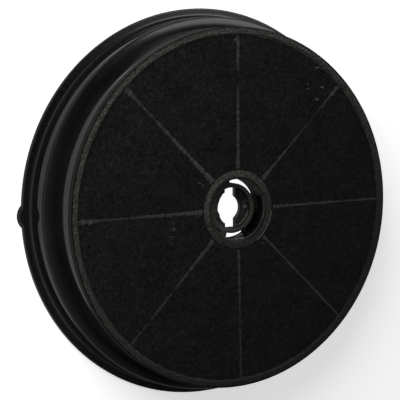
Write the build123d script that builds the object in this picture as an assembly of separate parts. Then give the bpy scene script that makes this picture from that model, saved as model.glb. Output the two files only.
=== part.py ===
from build123d import *
import os

# Round bayonet carbon filter, lying on its rear flange with the fleece face up.
# The Z axis is the hub axis and the origin lies in the plane of the flange's rear face.
# The X axis runs along one partition wall, and the side tab is at minus X.

# Whole housing
flange_radius = 105.0
height = 38.0
wall = 1.9
clearance = 0.1
cutting_margin = 1.0

# Rear flange and skirt
flange_thickness = 2.4
flange_slope_rise = 1.0
flange_width = 4.5
skirt_draft = 0.9
step_height = 17.4
shoulder_bevel_width = 1.6

# Front wall and rim
step_width = 6.4
rim_edge_bevel_width = 0.8
rim_width = 3.3
rim_ledge_width = 2.4
rim_ledge_depth = 4.0

# Fleece discs
fleece_thickness = 1.2
fleece_drop = 2.2
slot_margin = 1.6

# Partition walls and compartments
partition_count = 8
partition_thickness = 1.3
partition_sink = 1.5
carbon_settling = 1.6

# Hub
hub_ring_drop = 2.1
hub_bore_radius = 16.4
hub_ring_width = 4.0
hub_edge_bevel_width = 0.5
hub_ledge_width = 2.2
hub_ledge_depth = 3.5
hub_rear_drop = 13.4
hub_rear_step_width = 5.2

# Bayonet socket in the hub
sleeve_drop = 8.5
arc_slot_width = 3.25
sleeve_thickness = 2.15
floor_drop = 11.7
floor_thickness = 2.7
keyhole_radius = 6.9
notch_width = 6.6
notch_margin = 0.5
slot_angles = ((25.2, 95.7), (254.9, 301.2))

# Bayonet ramps: each rises from beside a notch to a detent and a stop
ramp_margin = 0.8
ramp_start_angle = -60.0
ramp_sweep_angle = 54.0
ramp_rise = 1.7
ramp_steps = 4
detent_sweep_angle = 20.0
detent_rise = 0.7
stop_sweep_angle = 14.0
stop_rise = 2.2

# Rear grid
grid_thickness = 2.0
grid_seat_width = 0.8
grid_rim_width = 5.8
grid_hub_width = 2.6
grid_ring_count = 2
grid_ring_width = 2.2
grid_rib_width = 2.2

# Side tab on the flange
tab_width = 11.5
tab_reach = 2.2
tab_corner_radius = 8.2

# Radii that follow from the sizes above
skirt_foot_radius = flange_radius - flange_width
skirt_top_radius = skirt_foot_radius - skirt_draft
skirt_bore_radius = skirt_top_radius - wall
lip_radius = skirt_top_radius - step_width
lip_inner_radius = lip_radius - wall
rim_inner_radius = lip_radius - rim_width
rim_ledge_radius = rim_inner_radius - rim_ledge_width
hub_outer_radius = hub_bore_radius + wall
hub_ring_radius = hub_bore_radius + hub_ring_width
hub_rear_bore_radius = hub_bore_radius + hub_rear_step_width
sleeve_radius = hub_bore_radius - arc_slot_width
sleeve_bore_radius = sleeve_radius - sleeve_thickness
notch_reach = sleeve_bore_radius - notch_margin
ramp_inner_radius = keyhole_radius + ramp_margin
hub_rear_outer_radius = hub_rear_bore_radius + wall
hub_ledge_radius = hub_ring_radius + hub_ledge_width
slot_inner_radius = hub_ledge_radius + slot_margin
slot_outer_radius = rim_ledge_radius - slot_margin
grid_seat_radius = skirt_bore_radius - grid_seat_width
grid_outer_radius = grid_seat_radius - clearance
grid_inner_radius = hub_rear_outer_radius + clearance
grid_ring_span = grid_outer_radius - grid_rim_width - grid_inner_radius - grid_hub_width

# Heights that follow from the sizes above
flange_foot_height = flange_thickness + flange_slope_rise
step_underside = step_height - wall
grid_rear = step_underside - grid_thickness
rear_fleece_top = step_underside + fleece_thickness
fleece_top = height - fleece_drop
fleece_seat = fleece_top - fleece_thickness
hub_top = height - hub_ring_drop
hub_rear = height - hub_rear_drop
sleeve_top = height - sleeve_drop
floor_top = height - floor_drop
floor_rear = floor_top - floor_thickness
partition_angle = 360.0 / partition_count


def revolved(points, bevels=(), sweep=360.0):
    """Turn a closed outline of (radius, height) points about Z, with some corners bevelled first."""
    with BuildPart() as turned:
        with BuildSketch(Plane.XZ):
            with BuildLine():
                Polyline(*points, close=True)
            make_face()
            for corner, length in bevels:
                chamfer(vertices().sort_by_distance((corner[0], corner[1], 0.0))[0], length)
        revolve(axis=Axis.Z, revolution_arc=sweep)
    return turned.part


def ring(inner, outer, low, high):
    """Plain ring between two radii and two heights."""
    return revolved([(inner, low), (outer, low), (outer, high), (inner, high)])


def sector(inner, outer, low, high, start, sweep):
    """Part of a ring, from a start angle through a sweep."""
    piece = revolved([(inner, low), (outer, low), (outer, high), (inner, high)], sweep=sweep)
    return piece.rotate(Axis.Z, start)


def radial_wall(points, thickness):
    """Upright wall along plus X, from its (radius, height) outline."""
    with BuildPart() as upright:
        with BuildSketch(Plane.XZ):
            with BuildLine():
                Polyline(*points, close=True)
            make_face()
        extrude(amount=thickness / 2, both=True)
    return upright.part


def outer_shell():
    """Flange, skirt, step, front wall and rim in one turned section."""
    shoulder = (skirt_top_radius, step_height)
    rim_edge = (lip_radius, height)
    outline = [
        (skirt_bore_radius, 0.0),
        (flange_radius, 0.0),
        (flange_radius, flange_thickness),
        (skirt_foot_radius, flange_foot_height),
        shoulder,
        (lip_radius, step_height),
        rim_edge,
        (rim_inner_radius, height),
        (rim_inner_radius, fleece_seat),
        (rim_ledge_radius, fleece_seat),
        (lip_inner_radius, fleece_seat - rim_ledge_depth),
        (lip_inner_radius, step_underside),
        (grid_seat_radius, step_underside),
        (grid_seat_radius, grid_rear),
        (skirt_bore_radius, grid_rear),
    ]
    return revolved(outline, [(shoulder, shoulder_bevel_width), (rim_edge, rim_edge_bevel_width)])


def side_tab():
    """Flat rounded tab on the flange at minus X."""
    tip = flange_radius + tab_reach
    centre = tip - tab_corner_radius
    with BuildPart() as tab:
        with BuildSketch():
            with Locations((centre, 0.0)):
                Circle(tab_corner_radius)
                Rectangle(2 * tab_corner_radius, tab_width, mode=Mode.INTERSECT)
        extrude(amount=flange_thickness)
    outside = ring(skirt_bore_radius, tip + cutting_margin, 0.0, flange_thickness)
    return (tab.part & outside).rotate(Axis.Z, 180.0)


def hub_shell():
    """Hub ring, stepped hub tube and the ledge under the fleece."""
    bore_edge = (hub_bore_radius, hub_top)
    outline = [
        (hub_bore_radius, hub_rear),
        bore_edge,
        (hub_ring_radius, hub_top),
        (hub_ring_radius, fleece_seat),
        (hub_ledge_radius, fleece_seat),
        (hub_outer_radius, fleece_seat - hub_ledge_depth),
        (hub_outer_radius, hub_rear + wall),
        (hub_rear_outer_radius, hub_rear + wall),
        (hub_rear_outer_radius, grid_rear),
        (hub_rear_bore_radius, grid_rear),
        (hub_rear_bore_radius, hub_rear),
    ]
    return revolved(outline, [(bore_edge, hub_edge_bevel_width)])


def bayonet_ramp():
    """Helical ramp with its detent and stop, beside one notch."""
    sections = []
    middle_radius = (ramp_inner_radius + sleeve_radius) / 2
    width = sleeve_radius - ramp_inner_radius + 2 * cutting_margin
    for step in range(ramp_steps + 1):
        share = step / ramp_steps
        top = floor_top + ramp_rise * share
        plane = Plane.XZ.rotated((0, 0, ramp_start_angle + ramp_sweep_angle * share))
        with BuildSketch(plane) as section:
            with Locations((middle_radius, (floor_rear + top) / 2)):
                Rectangle(width, top - floor_rear)
        sections.append(section.sketch)
    slope = loft(sections)
    bounds = sector(ramp_inner_radius, sleeve_radius - clearance, floor_rear, floor_top + stop_rise,
                    ramp_start_angle, ramp_sweep_angle)
    ramp = slope & bounds
    detent_start = ramp_start_angle + ramp_sweep_angle
    ramp += sector(ramp_inner_radius, sleeve_radius - clearance, floor_rear, floor_top + detent_rise,
                   detent_start, detent_sweep_angle)
    ramp += sector(ramp_inner_radius, sleeve_radius - clearance, floor_rear, floor_top + stop_rise,
                   detent_start + detent_sweep_angle, stop_sweep_angle)
    return ramp


def bayonet_socket():
    """Sleeve with a keyhole floor, held in the hub by two webs and open at two arc slots."""
    web_block = revolved([
        (sleeve_bore_radius, floor_rear),
        (sleeve_radius, floor_rear),
        (sleeve_radius, hub_rear),
        (hub_bore_radius + wall / 2, hub_rear),
        (hub_bore_radius + wall / 2, sleeve_top),
        (sleeve_bore_radius, sleeve_top),
    ])
    for start, end in slot_angles:
        web_block -= sector(sleeve_radius, hub_bore_radius, floor_rear - cutting_margin, height,
                            start, end - start)
    floor = Cylinder(sleeve_bore_radius + clearance, floor_thickness,
                     align=(Align.CENTER, Align.CENTER, Align.MIN)).translate((0, 0, floor_rear))
    ramp = bayonet_ramp()
    socket = web_block + floor + ramp + ramp.rotate(Axis.Z, 180.0)
    with BuildPart() as keyhole:
        with BuildSketch(Plane.XY.offset(floor_rear - cutting_margin)):
            Circle(keyhole_radius)
            Rectangle(notch_width, 2 * notch_reach)
        extrude(amount=height)
    return socket - keyhole.part


def partition():
    """Full-depth wall along plus X, whose edge comes up through the fleece slot."""
    outline = [
        (hub_rear_bore_radius + wall / 2, rear_fleece_top),
        (lip_inner_radius + wall / 2, rear_fleece_top),
        (lip_inner_radius + wall / 2, fleece_seat - partition_sink),
        (rim_ledge_radius + clearance, fleece_seat),
        (slot_outer_radius, fleece_seat),
        (slot_outer_radius, fleece_top),
        (slot_inner_radius, fleece_top),
        (slot_inner_radius, fleece_seat),
        (hub_ledge_radius - clearance, fleece_seat),
        (hub_outer_radius - wall / 2, fleece_seat - partition_sink),
        (hub_outer_radius - wall / 2, hub_rear + wall / 2),
        (hub_rear_bore_radius + wall / 2, hub_rear + wall / 2),
    ]
    return radial_wall(outline, partition_thickness)


def housing():
    """The whole moulding."""
    body = outer_shell() + side_tab() + hub_shell() + bayonet_socket()
    wall_piece = partition()
    for index in range(partition_count):
        body += wall_piece.rotate(Axis.Z, index * partition_angle)
    return body


def front_fleece():
    """Disc with one slot over each partition wall."""
    disc = ring(hub_ring_radius + clearance, rim_inner_radius - clearance, fleece_seat, fleece_top)
    slot_length = slot_outer_radius - slot_inner_radius + 2 * clearance
    slot = Box(slot_length, partition_thickness + 2 * clearance, height)
    slot = slot.translate(((slot_inner_radius + slot_outer_radius) / 2, 0, height))
    for index in range(partition_count):
        disc -= slot.rotate(Axis.Z, index * partition_angle)
    return disc


def carbon_charge():
    """Granules of one compartment, from the partition on plus X to the next one, levelled flat."""
    hub_side = hub_rear_outer_radius + clearance
    rim_side = lip_inner_radius - clearance
    level = fleece_seat - carbon_settling
    charge = revolved([
        (hub_side, rear_fleece_top),
        (rim_side, rear_fleece_top),
        (rim_side, fleece_seat - rim_ledge_depth - clearance),
        (rim_ledge_radius - clearance, level),
        (hub_side, level),
    ], sweep=partition_angle)
    gap = Box(2 * flange_radius, partition_thickness + 2 * clearance, 2 * height)
    charge -= gap
    charge -= gap.rotate(Axis.Z, partition_angle)
    return charge


def rear_fleece():
    """Flat disc between the rear grid and the carbon."""
    return ring(hub_rear_outer_radius + clearance, lip_inner_radius - clearance,
                step_underside, rear_fleece_top)


def rear_grid():
    """Rim, hub ring, concentric rings and ribs that close the housing from behind."""
    ring_start = grid_inner_radius + grid_hub_width
    grid = ring(grid_outer_radius - grid_rim_width, grid_outer_radius, grid_rear, step_underside)
    grid += ring(grid_inner_radius, ring_start, grid_rear, step_underside)
    for index in range(grid_ring_count):
        middle = ring_start + grid_ring_span * (index + 1) / (grid_ring_count + 1)
        grid += ring(middle - grid_ring_width / 2, middle + grid_ring_width / 2, grid_rear, step_underside)
    rib_start = grid_inner_radius + grid_hub_width / 2
    rib_end = grid_outer_radius - grid_rim_width / 2
    rib = Box(rib_end - rib_start, grid_rib_width, grid_thickness)
    rib = rib.translate(((rib_start + rib_end) / 2, 0, grid_rear + grid_thickness / 2))
    for index in range(partition_count):
        grid += rib.rotate(Axis.Z, index * partition_angle)
    return grid


def save(shape, node):
    """Write one node's file."""
    export_step(shape, "parts/" + node + ".step")


os.makedirs("parts", exist_ok=True)
save(housing(), "housing")
save(front_fleece(), "front_fleece")
save(rear_fleece(), "rear_fleece")
save(rear_grid(), "rear_grid")
charge_piece = carbon_charge()
for number in range(partition_count):
    save(charge_piece.rotate(Axis.Z, number * partition_angle), "carbon_fill_" + str(number + 1))
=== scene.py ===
import math
import random

import bmesh
import bpy
from mathutils import Matrix, Vector, noise


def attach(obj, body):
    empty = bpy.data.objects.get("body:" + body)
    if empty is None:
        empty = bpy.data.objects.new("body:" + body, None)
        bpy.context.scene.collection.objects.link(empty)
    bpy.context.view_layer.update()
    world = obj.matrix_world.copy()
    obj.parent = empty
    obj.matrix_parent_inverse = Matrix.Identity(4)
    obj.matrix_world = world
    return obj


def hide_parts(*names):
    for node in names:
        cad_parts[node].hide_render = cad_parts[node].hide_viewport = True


# The filter lies on its rear flange with the fleece up. Lengths below are in millimetres,
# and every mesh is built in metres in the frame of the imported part.

MM = 0.001
TURN_STEPS = 256

# Outer moulding
FLANGE_RADIUS = 105.0
FLANGE_THICKNESS = 2.4
FLANGE_EDGE_ROUND = 0.75
FLANGE_FACE_RADIUS = 103.6
FLANGE_FACE_HEIGHT = 2.47
FLANGE_FRONT_RISE = 0.25
FLANGE_FILLET = 1.6
SKIRT_FOOT_RADIUS = 100.5
SKIRT_TOP_RADIUS = 99.7
SKIRT_BORE_RADIUS = 97.7
STEP_HEIGHT = 17.4
STEP_CURVE_RADIUS = 18.5
STEP_CURVE_ANGLE = 16
SHOULDER_LOW = 15.6
LIP_FOOT_RADIUS = 93.95
LIP_TOP_RADIUS = 93.25
LIP_INNER_RADIUS = 91.3
COLLAR_RADIUS = 93.35
COLLAR_LOW = 34.1
RIM_INNER_RADIUS = 89.9
RIM_LEDGE_RADIUS = 87.5
RIM_LEDGE_FOOT = 31.7
HEIGHT = 38.0
WALL = 1.9
STEP_UNDERSIDE = 15.5
GRID_SEAT_RADIUS = 96.9
GRID_REAR = 13.5

# Partition walls
PARTITION_COUNT = 8
PARTITION_HALF_WIDTH = 0.65
PARTITION_GAP = 0.1
PARTITION_SHOULDER = 31.0
PARTITION_HUB_HEIGHT = 30.0
PARTITION_HUB_INSET = 3.5

# Front fleece
FLEECE_THICKNESS = 1.2
FLEECE_GAP = 0.1
FLEECE_TOP_AT_RIM = 36.9
FLEECE_TOP_AT_HUB = 35.8
FLEECE_WAVINESS = 0.07
CREST_START = 21.2
CREST_END = 89.0

# Hub and bayonet socket
HUB_TOP = 35.9
HUB_BORE_RADIUS = 16.4
HUB_BORE_LAND = 0.6
HUB_THROAT_RADIUS = 15.7
HUB_THROAT_TOP = 34.9
SLOT_OUTER_RADIUS = 15.8
HUB_RING_RADIUS = 20.4
HUB_LEDGE_RADIUS = 22.6
HUB_LEDGE_DEPTH = 1.5
HUB_OUTER_RADIUS = 18.3
HUB_REAR = 24.6
HUB_REAR_BORE_RADIUS = 21.6
HUB_REAR_OUTER_RADIUS = 23.5
SLEEVE_TOP = 29.5
SLEEVE_RADIUS = 13.15
SLEEVE_BORE_RADIUS = 11.0
FLOOR_TOP = 26.3
FLOOR_REAR = 23.6
KEYHOLE_RADIUS = 6.9
KEYHOLE_CORNER_SCALE = (0.87, 1.25, 1.0)
KEYHOLE_CORNER_SHIFT = -0.5
NOTCH_WIDTH = 6.2
NOTCH_SHIFT = 0.6
NOTCH_REACH = 10.5
ARC_SLOTS = ((25.2, 95.7), (254.9, 301.2))
RAMP_INNER_RADIUS = 7.7
RAMP_START = -60.0
RAMP_SWEEP = 54.0
RAMP_RISE = 1.7
DETENT_SWEEP = 20.0
DETENT_RISE = 0.7
STOP_SWEEP = 14.0
STOP_RISE = 2.2
WALL_OVERLAP = 0.8
PAINTED_LIT_WEB_Y = -13.0

# Side tab
TAB_TIP = 107.2
TAB_CORNER_RADIUS = 8.2
TAB_SLOPE = 1.2

# Rear grid and rear fleece
GRID_OUTER_RADIUS = 96.8
GRID_INNER_RADIUS = 23.6
GRID_RIM_WIDTH = 5.8
GRID_HUB_WIDTH = 2.6
GRID_RING_RADII = (47.8, 69.4)
GRID_BAR_WIDTH = 2.2
GRID_BAR_ROUND = 0.4
REAR_FLEECE_TOP = 16.7
REAR_FLEECE_RADIUS = 91.2
REAR_FLEECE_SAG = 0.35

# Where flecks, strokes and fibres may lie, clear of the rim and the hub ring
FLECK_RADII = (21.5, 88.5)
STROKE_RADII = (22.0, 89.0)
FIBRE_RADII = (21.2, 88.8)
FIBRE_COUNT = 1800

# Pale bits on the fleece, as (x, y, scatter, count, size)
FLECKS = (
    (48.6, 72.4, 0.45, 4, 0.8), (43.4, 61.6, 0.7, 4, 0.7), (52.4, 61.9, 0.5, 5, 0.9),
    (48.9, 55.8, 0.5, 5, 0.9), (47.2, 64.5, 2.4, 7, 0.4), (-38.4, -4.4, 0.5, 3, 0.7),
    (-38.0, -7.6, 0.6, 5, 0.8), (-39.0, -10.6, 0.7, 4, 0.6), (-38.8, -13.4, 0.4, 2, 0.6),
    (14.7, -18.7, 0.35, 3, 0.6), (-22.6, 15.2, 0.6, 4, 0.6), (-20.9, 13.2, 0.5, 3, 0.6),
    (-64.0, 61.2, 0.6, 4, 0.8), (-16.2, 17.4, 0.5, 4, 0.8), (-1.5, 86.4, 0.4, 3, 0.9),
    (-83.6, -0.9, 0.6, 5, 0.9), (-24.7, -0.4, 0.8, 6, 0.6), (0.0, 0.0, 46.0, 60, 0.28),
)

# Strokes on the fleece where rubbing laid the nap, painted paler as a sheen, as (x, y, scatter, count,
# length, heading)
STROKES = (
    (-60.0, 49.0, 7.0, 34, 5.0, 48.0), (-76.0, 30.0, 4.5, 24, 3.6, 60.0),
    (-30.8, 79.0, 0.3, 4, 6.0, 92.0), (-48.0, 33.0, 9.0, 26, 4.0, 46.0),
    (-20.0, 66.0, 14.0, 40, 3.4, 52.0), (20.0, 60.0, 13.0, 26, 3.0, 48.0),
    (-66.0, 8.0, 8.0, 24, 3.4, 55.0), (-40.0, -40.0, 16.0, 26, 3.2, 40.0),
)

# How strongly a partition crest shows through the fleece, in five judged levels
BARELY = 0.04
FAINT = 0.17
MIDDLING = 0.33
CLEAR = 0.6
STRONG = 0.9

# The crests by angle, as (radius, level) pairs from the hub outward
CREST_SHOW = {
    0: ((24, MIDDLING), (55, MIDDLING), (65, FAINT), (75, FAINT), (85, MIDDLING)),
    45: ((24, CLEAR), (45, MIDDLING), (60, BARELY), (70, BARELY), (85, CLEAR)),
    90: ((24, CLEAR), (50, CLEAR), (60, MIDDLING), (65, BARELY), (70, BARELY), (75, CLEAR)),
    135: ((24, STRONG), (45, STRONG), (60, CLEAR), (67, MIDDLING), (72, MIDDLING), (77, CLEAR)),
    180: ((24, CLEAR), (55, CLEAR), (62, FAINT), (77, FAINT), (87, STRONG)),
    225: ((24, CLEAR), (38, CLEAR), (45, MIDDLING), (57, MIDDLING), (66, FAINT)),
    270: ((24, MIDDLING), (40, MIDDLING), (50, FAINT)),
    315: ((24, MIDDLING), (42, MIDDLING), (50, FAINT)),
}

# Directions across the object, as seen from the hub, for the lip's dull stretch and for painted light and
# shade
UPPER_LEFT = (-0.57, 0.82, 0)
DULL_LIP_SIDE = (-0.225, 0.974, 0)
SHADOWED_WEB_SIDE = (0.707, -0.707, 0)
LIT_BORE_SIDE = (0.68, 0.73, 0)
SHADED_RING_SIDE = (-0.97, 0.24, 0)
FLEECE_LIT_SIDE = (-0.8, 0.6, 0)

# Brightness of the surroundings: plain light, and what a mirrored ray sees, which is walls by
# height, a soft panel and a haze
PLAIN_LEVEL = 0.2
MIRRORED_SHADE = 0.8
WALL_STOPS = ((0.0, 0.05), (0.06, 0.05), (0.1, 1.0), (0.5, 0.8), (0.8, 0.06), (0.9, 0.03))
WALL_SIDE = (-1, 0, 0)
PANEL_DIRECTION = (0.5, 0.57, 0.65)
PANEL_STOPS = ((0.8, 0.0), (0.86, 0.04), (0.9, 0.1), (0.92, 0.24), (0.935, 0.5), (0.95, 0.85), (1.0, 1.0))
PANEL_LEVEL = 3.4
HAZE_DIRECTION = (-0.7, -0.4, 0.6)

# The pale floor, in metres, and what a mirrored ray sees of it by distance from the axis
FLOOR_RADIUS = 4.0
FLOOR_DROP = 0.0002
FLOOR_SHADE = 0.8
FLOOR_STOPS = ((0.094, 0.45), (0.097, 0.33), (0.15, 0.36), (0.18, 0.36), (0.23, 0.08))
FLOOR_LIT_SIDE = (-0.866, 0.5, 0)
FLOOR_PATCH_SIDE = (-0.42, 0.906, 0)

# Lamp and camera, in metres, watts and degrees
KEY_LAMP_PLACE = (-0.38, 0.42, 0.42)
KEY_LAMP_SIZE = 0.4
KEY_LAMP_POWER = 4.4
CAMERA_PLACE = (-0.26668, 0.06351, 0.48108)
CAMERA_LENS = 90.853
CAMERA_SENSOR = 36.0
CAMERA_SIDE = 28.809
CAMERA_RISE = 6.015
CAMERA_TURN = -0.84

EVEN = (1.0, 1.0, 1.0)
OLIVE = (1.02, 1.02, 0.9)
PLASTIC_IOR = 1.49


def seat_height(radius):
    """Underside of the dished front fleece."""
    share = (radius - HUB_RING_RADIUS) / (RIM_INNER_RADIUS - HUB_RING_RADIUS)
    return FLEECE_TOP_AT_HUB - FLEECE_THICKNESS + share * (FLEECE_TOP_AT_RIM - FLEECE_TOP_AT_HUB)


def fleece_height(radius):
    """Upper face of the dished front fleece."""
    return seat_height(radius) + FLEECE_THICKNESS


# Mesh helpers

def near(vert, radius, height):
    """Whether a vertex lies on the circle of this radius and height."""
    return (abs(math.hypot(vert.co.x, vert.co.y) - radius * MM) < 2e-6
            and abs(vert.co.z - height * MM) < 2e-6)


def turned(outline, rounds=(), steps=TURN_STEPS):
    """An outline of (radius, height) points turned about Z, with some of its corner circles rounded."""
    bm = bmesh.new()
    verts = [bm.verts.new((r * MM, 0.0, z * MM)) for r, z in outline]
    edges = [bm.edges.new(pair) for pair in zip(verts, verts[1:] + verts[:1])]
    bmesh.ops.spin(bm, geom=verts + edges, cent=(0, 0, 0), axis=(0, 0, 1), dvec=(0, 0, 0),
                   angle=2 * math.pi, steps=steps, use_merge=True, use_duplicate=False)
    bmesh.ops.remove_doubles(bm, verts=bm.verts[:], dist=1e-7)
    for radius, height, size in rounds:
        circle = [e for e in bm.edges if all(near(v, radius, height) for v in e.verts)]
        bmesh.ops.bevel(bm, geom=circle, offset=size * MM, offset_type="OFFSET", segments=7,
                        profile=0.5, affect="EDGES", clamp_overlap=True, material=-1)
    bmesh.ops.recalc_face_normals(bm, faces=bm.faces[:])
    return bm


def swept_block(inner, outer, low, high, start, sweep, rise=0.0):
    """A block between two radii and two heights, swept about Z from a start angle, with a steady rise."""
    bm = bmesh.new()
    corners = ((inner, low), (outer, low), (outer, high), (inner, high))
    face = bm.faces.new([bm.verts.new((r * MM, 0.0, z * MM)) for r, z in corners])
    steps = max(2, round(TURN_STEPS * sweep / 360))
    bmesh.ops.spin(bm, geom=[face] + face.edges[:] + face.verts[:], cent=(0, 0, 0), axis=(0, 0, 1),
                   dvec=(0, 0, rise * MM / steps), angle=math.radians(sweep), steps=steps,
                   use_merge=False, use_duplicate=False)
    rotated(bm, start)
    bmesh.ops.recalc_face_normals(bm, faces=bm.faces[:])
    return bm


def block(size, centre):
    """A rectangular block, in millimetres."""
    bm = bmesh.new()
    bmesh.ops.create_cube(bm, size=MM)
    bmesh.ops.scale(bm, vec=size, verts=bm.verts[:])
    bmesh.ops.translate(bm, vec=Vector(centre) * MM, verts=bm.verts[:])
    return bm


def disc_block(radius, low, high, steps=TURN_STEPS):
    """A round block standing on a height."""
    bm = bmesh.new()
    bmesh.ops.create_cone(bm, cap_ends=True, segments=steps, radius1=radius * MM, radius2=radius * MM,
                          depth=(high - low) * MM)
    bmesh.ops.translate(bm, vec=(0, 0, (low + high) / 2 * MM), verts=bm.verts[:])
    return bm


def rotated(bm, degrees, verts=None):
    """The same mesh, or some of its vertices, turned about Z."""
    bmesh.ops.rotate(bm, verts=verts or bm.verts[:], cent=(0, 0, 0),
                     matrix=Matrix.Rotation(math.radians(degrees), 3, "Z"))
    return bm


def made(bm, name, *materials):
    """An object from a finished bmesh."""
    mesh = bpy.data.meshes.new(name)
    bm.to_mesh(mesh)
    bm.free()
    obj = bpy.data.objects.new(name, mesh)
    bpy.context.scene.collection.objects.link(obj)
    for material in materials:
        mesh.materials.append(material)
    return obj


def applied(obj):
    """The object with its modifiers turned into mesh."""
    bpy.context.view_layer.update()
    graph = bpy.context.evaluated_depsgraph_get()
    mesh = bpy.data.meshes.new_from_object(obj.evaluated_get(graph))
    obj.modifiers.clear()
    obj.data = mesh
    return obj


def combined(obj, others, operation):
    """The object joined with, or cut by, the others, which are used up."""
    for other in others:
        step = obj.modifiers.new("combine", "BOOLEAN")
        step.operation = operation
        step.solver = "EXACT"
        step.object = other
    applied(obj)
    for other in others:
        bpy.data.objects.remove(other)
    return obj


def joined(name, objects):
    """Several objects as one mesh object, with their materials kept."""
    materials = []
    bm = bmesh.new()
    for obj in objects:
        places = []
        for material in obj.data.materials:
            if material not in materials:
                materials.append(material)
            places.append(materials.index(material))
        first = len(bm.faces)
        bm.from_mesh(obj.data)
        bm.faces.ensure_lookup_table()
        for face in bm.faces[first:]:
            face.material_index = places[face.material_index] if places else 0
    for obj in objects:
        bpy.data.objects.remove(obj)
    return made(bm, name, *materials)


def smooth_within(obj, degrees=32.0):
    """Smooth shading, with edges sharper than an angle kept crisp."""
    bm = bmesh.new()
    bm.from_mesh(obj.data)
    for face in bm.faces:
        face.smooth = True
    limit = math.radians(degrees)
    for edge in bm.edges:
        edge.smooth = len(edge.link_faces) == 2 and edge.calc_face_angle(0.0) < limit
    bm.to_mesh(obj.data)
    bm.free()
    return obj


def softened(obj, width, segments=2, degrees=35.0):
    """Edges sharper than an angle get a small round."""
    step = obj.modifiers.new("soften", "BEVEL")
    step.width = width * MM
    step.segments = segments
    step.limit_method = "ANGLE"
    step.angle_limit = math.radians(degrees)
    step.use_clamp_overlap = True
    return applied(obj)


# Node helpers

def fed(tree, socket, value):
    """A socket given a link from another socket, or a plain value."""
    if isinstance(value, bpy.types.NodeSocket):
        tree.links.new(value, socket)
    else:
        socket.default_value = value


def figured(tree, operation, *values):
    """The result of a Math node."""
    node = tree.nodes.new("ShaderNodeMath")
    node.operation = operation
    for socket, value in zip(node.inputs, values):
        fed(tree, socket, value)
    return node.outputs["Value"]


def figured_vector(tree, operation, *values):
    """The result of a Vector Math node."""
    node = tree.nodes.new("ShaderNodeVectorMath")
    node.operation = operation
    for socket, value in zip(node.inputs, values):
        fed(tree, socket, value)
    return node.outputs["Value" if operation in ("DOT_PRODUCT", "LENGTH") else "Vector"]


def object_place(tree):
    """The place of a point on the object."""
    return tree.nodes.new("ShaderNodeTexCoord").outputs["Object"]


def flattened(tree, vector):
    """A vector without its height."""
    return figured_vector(tree, "MULTIPLY", vector, (1, 1, 0))


def reach(tree):
    """How far a point lies from the axis, in metres."""
    return figured_vector(tree, "LENGTH", flattened(tree, object_place(tree)))


def parts_of(tree, vector):
    """The X, Y and Z of a vector."""
    split = tree.nodes.new("ShaderNodeSeparateXYZ")
    tree.links.new(vector, split.inputs["Vector"])
    return split.outputs


def grain(tree, scale, detail=3.0, roughness=0.6, distortion=0.0, stretch=(1, 1, 1)):
    """Noise on the object's own coordinates; scale is in features a metre."""
    mapping = tree.nodes.new("ShaderNodeMapping")
    mapping.inputs["Scale"].default_value = stretch
    pattern = tree.nodes.new("ShaderNodeTexNoise")
    pattern.inputs["Scale"].default_value = scale
    pattern.inputs["Detail"].default_value = detail
    pattern.inputs["Roughness"].default_value = roughness
    pattern.inputs["Distortion"].default_value = distortion
    tree.links.new(object_place(tree), mapping.inputs["Vector"])
    tree.links.new(mapping.outputs["Vector"], pattern.inputs["Vector"])
    return pattern.outputs["Fac"]


def shaded(tree, value, stops, tint=EVEN):
    """Greys spread over a value; stops are (place, brightness) pairs."""
    ramp = tree.nodes.new("ShaderNodeValToRGB")
    while len(ramp.color_ramp.elements) < len(stops):
        ramp.color_ramp.elements.new(0.5)
    for element, (place, brightness) in zip(ramp.color_ramp.elements, stops):
        element.position = place
        element.color = (*(brightness * t for t in tint), 1.0)
    tree.links.new(value, ramp.inputs["Fac"])
    return ramp.outputs["Color"]


def spread(tree, value, low, high, start=0.3, end=0.7, smooth=False):
    """A value mapped from the range of start to end to the range of low to high."""
    node = tree.nodes.new("ShaderNodeMapRange")
    if smooth:
        node.interpolation_type = "SMOOTHSTEP"
    node.inputs["From Min"].default_value = start
    node.inputs["From Max"].default_value = end
    node.inputs["To Min"].default_value = low
    node.inputs["To Max"].default_value = high
    tree.links.new(value, node.inputs["Value"])
    return node.outputs["Result"]


def mixed(tree, share, first, second):
    """Two colours mixed by a share."""
    node = tree.nodes.new("ShaderNodeMix")
    node.data_type = "RGBA"
    tree.links.new(share, node.inputs["Factor"])
    tree.links.new(first, node.inputs["A"])
    tree.links.new(second, node.inputs["B"])
    return node.outputs["Result"]


def mixed_shader(tree, share, first, second):
    """Two shaders, with the second where the share is 1."""
    node = tree.nodes.new("ShaderNodeMixShader")
    tree.links.new(share, node.inputs["Fac"])
    tree.links.new(first, node.inputs[1])
    tree.links.new(second, node.inputs[2])
    return node.outputs["Shader"]


def bumped(tree, value, depth, before=None):
    """A bump from a height pattern; depth is in millimetres."""
    node = tree.nodes.new("ShaderNodeBump")
    node.inputs["Strength"].default_value = 1.0
    node.inputs["Distance"].default_value = depth * MM
    tree.links.new(value, node.inputs["Height"])
    if before is not None:
        tree.links.new(before, node.inputs["Normal"])
    return node.outputs["Normal"]


def heading_share(tree, toward, start, end):
    """A share that grows from 0 to 1 as a point's heading from the axis nears a direction."""
    outward = figured_vector(tree, "NORMALIZE", flattened(tree, object_place(tree)))
    return spread(tree, figured_vector(tree, "DOT_PRODUCT", outward, toward), 0.0, 1.0, start, end)


def uneven(tree):
    """A share that grows from the lower right to the upper left, for light and shade painted by side."""
    return heading_share(tree, UPPER_LEFT, -0.8, 0.9)


# Materials

def new_material(name):
    """A node material with only its shader and output, which are joined."""
    material = bpy.data.materials.new(name)
    material.use_nodes = True
    tree = material.node_tree
    tree.nodes.clear()
    shader = tree.nodes.new("ShaderNodeBsdfPrincipled")
    output = tree.nodes.new("ShaderNodeOutputMaterial")
    tree.links.new(shader.outputs["BSDF"], output.inputs["Surface"])
    return material, tree, shader.inputs


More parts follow.
